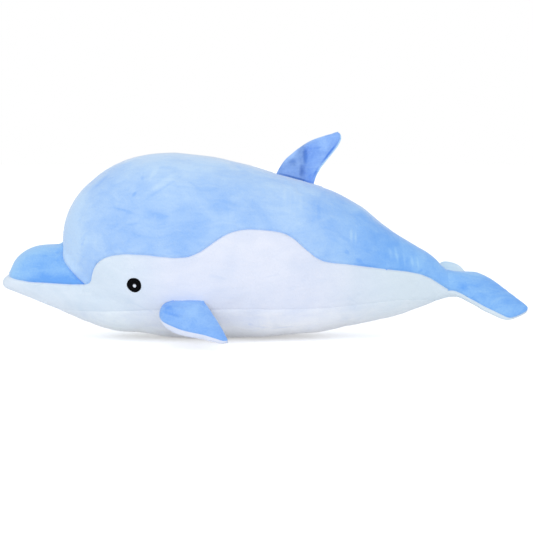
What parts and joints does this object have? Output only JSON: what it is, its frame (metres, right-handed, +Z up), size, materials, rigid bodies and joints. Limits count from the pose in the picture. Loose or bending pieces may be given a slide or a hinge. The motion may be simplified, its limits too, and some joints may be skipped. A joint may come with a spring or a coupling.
{
  "type": "stuffed plush dolphin",
  "caption": "Stuffed plush dolphin lying on its belly, with a blue pile fabric back, beak, fins and flukes and a white face and belly.",
  "frame": {"origin": "under the middle of the toy, on the surface that its belly lies on", "axes": "+X from beak to tail, +Y to its right side, +Z up"},
  "size_m": [0.5948, 0.2312, 0.2347],
  "materials": {
    "pale_blue_plush": "short dense pile",
    "deep_blue_plush": "short dense pile",
    "white_plush": "short dense pile",
    "fibre_filling": "loose fibre",
    "black_embroidery": "satin stitch",
    "white_embroidery": "satin stitch"
  },
  "bodies": {
    "trunk": {"body_filling": "fibre_filling", "beak_filling": "fibre_filling", "left_back_panel": "pale_blue_plush", "right_back_panel": "pale_blue_plush", "left_side_panel": "white_plush", "right_side_panel": "white_plush", "belly_panel": "white_plush", "beak_top_panel": "deep_blue_plush", "left_eye": "black_embroidery", "right_eye": "black_embroidery", "left_eye_glint": "white_embroidery", "right_eye_glint": "white_embroidery"},
    "left_flipper": {"left_flipper_filling": "fibre_filling", "left_flipper_top_panel": "deep_blue_plush", "left_flipper_under_panel": "white_plush"},
    "right_flipper": {"right_flipper_filling": "fibre_filling", "right_flipper_top_panel": "deep_blue_plush", "right_flipper_under_panel": "white_plush"},
    "dorsal_fin": {"dorsal_fin_filling": "fibre_filling", "dorsal_fin_left_panel": "deep_blue_plush", "dorsal_fin_right_panel": "deep_blue_plush"},
    "tail_fluke": {"left_fluke_filling": "fibre_filling", "left_fluke_top_panel": "deep_blue_plush", "left_fluke_under_panel": "white_plush", "right_fluke_filling": "fibre_filling", "right_fluke_top_panel": "deep_blue_plush", "right_fluke_under_panel": "white_plush"}
  },
  "joints": [
    {"name": "left_flipper_flap", "type": "hinge", "parent": "trunk", "child": "left_flipper", "pos_m": [-0.08695, -0.07933, 0.04662], "axis": [-0.9938, 0.0704, -0.0864], "range_deg": [0, 65]},
    {"name": "right_flipper_flap", "type": "hinge", "parent": "trunk", "child": "right_flipper", "pos_m": [-0.08695, 0.07933, 0.04662], "axis": [0.9938, 0.0704, 0.0864], "range_deg": [0, 65]},
    {"name": "dorsal_fin_lean", "type": "hinge", "parent": "trunk", "child": "dorsal_fin", "pos_m": [0.03571, 0, 0.18437], "axis": [0.9578, 0, -0.2876], "range_deg": [-40, 40], "stiffness_Nm_per_rad": 0.01},
    {"name": "tail_bend", "type": "hinge", "parent": "trunk", "child": "tail_fluke", "pos_m": [0.21, 0, 0.061], "axis": [0, -1, 0], "range_deg": [-12, 40], "stiffness_Nm_per_rad": 0.05, "springref_deg": 1.03}
  ]
}
